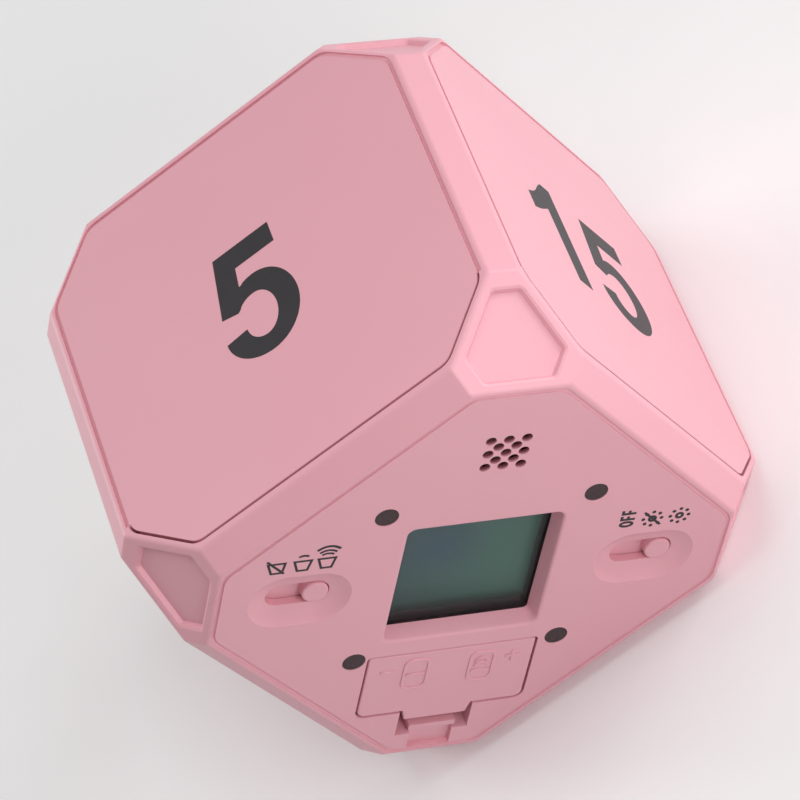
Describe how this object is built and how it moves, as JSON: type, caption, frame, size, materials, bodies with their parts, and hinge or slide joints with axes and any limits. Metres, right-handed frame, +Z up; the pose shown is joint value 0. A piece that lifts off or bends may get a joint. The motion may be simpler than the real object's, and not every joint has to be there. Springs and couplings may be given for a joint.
{
  "type": "digital cube timer",
  "caption": "Cube timer with cut corners and sloped edges: a number on each side face, and a square display, slide knobs, sounder holes and battery door on its display face.",
  "frame": {"origin": "middle of the lower number face, which the timer stands on", "axes": "+Z up, the display face looks along -Y, +X is the right side face"},
  "size_m": [0.065, 0.065, 0.065],
  "materials": {
    "shell_pink": "fine matte grain",
    "plug_rubber": "matte",
    "steel": "satin",
    "clear_window": "polished",
    "display_glass": "polished",
    "black_plastic": "matte",
    "guide_clear": "polished",
    "lamp_white": "glossy",
    "strip_rubber": "matte",
    "board_green": "satin lacquer",
    "resin_black": "glossy",
    "can_sleeve": "glossy",
    "foam": "matte foam",
    "cone_film": "satin film",
    "tray_plastic": "matte",
    "cell_jacket": "glossy film",
    "contact_nickel": "nickel plated",
    "wire_red": "satin",
    "wire_black": "satin"
  },
  "bodies": {
    "housing": {"front_shell": "shell_pink", "rear_shell": "shell_pink", "screw_plugs": "plug_rubber", "shell_screws": "steel", "board_screws": "steel", "tray_screws": "steel", "sounder_frame": "steel", "sounder_magnet": "steel", "sound_switch_case": "steel", "light_switch_case": "steel", "quartz_crystal": "steel", "window_lens": "clear_window", "display_front_glass": "display_glass", "display_rear_glass": "display_glass", "display_holder": "black_plastic", "tilt_sensor": "black_plastic", "chip_resistors": "black_plastic", "backlight_guide": "guide_clear", "backlight_lamps": "lamp_white", "contact_strip": "strip_rubber", "main_board": "board_green", "controller_blob": "resin_black", "filter_capacitor": "can_sleeve", "sounder_gasket": "foam", "sounder_cone": "cone_film", "battery_tray": "tray_plastic", "battery_cell_left": "cell_jacket", "battery_cell_right": "cell_jacket", "tray_plate_contact": "contact_nickel", "tray_spring_contact": "contact_nickel", "positive_lead": "wire_red", "negative_lead": "wire_black", "sounder_leads": "wire_black"},
    "sound_slide": {"sound_knob": "shell_pink", "sound_switch_slider": "black_plastic"},
    "light_slide": {"light_knob": "shell_pink", "light_switch_slider": "black_plastic"},
    "door": {"battery_door": "shell_pink", "door_contact": "contact_nickel"}
  },
  "joints": [
    {"name": "sound_knob_slide", "type": "slide", "parent": "housing", "child": "sound_slide", "axis": [-0.7071, 0, 0.7071], "range_m": [0, 0.0047]},
    {"name": "light_knob_slide", "type": "slide", "parent": "housing", "child": "light_slide", "axis": [-0.7071, 0, 0.7071], "range_m": [0, 0.0047]},
    {"name": "door_hinge", "type": "hinge", "parent": "housing", "child": "door", "pos_m": [-0.00976, -0.0325, 0.02274], "axis": [-0.7071, 0, 0.7071], "range_deg": [0, 75]}
  ]
}
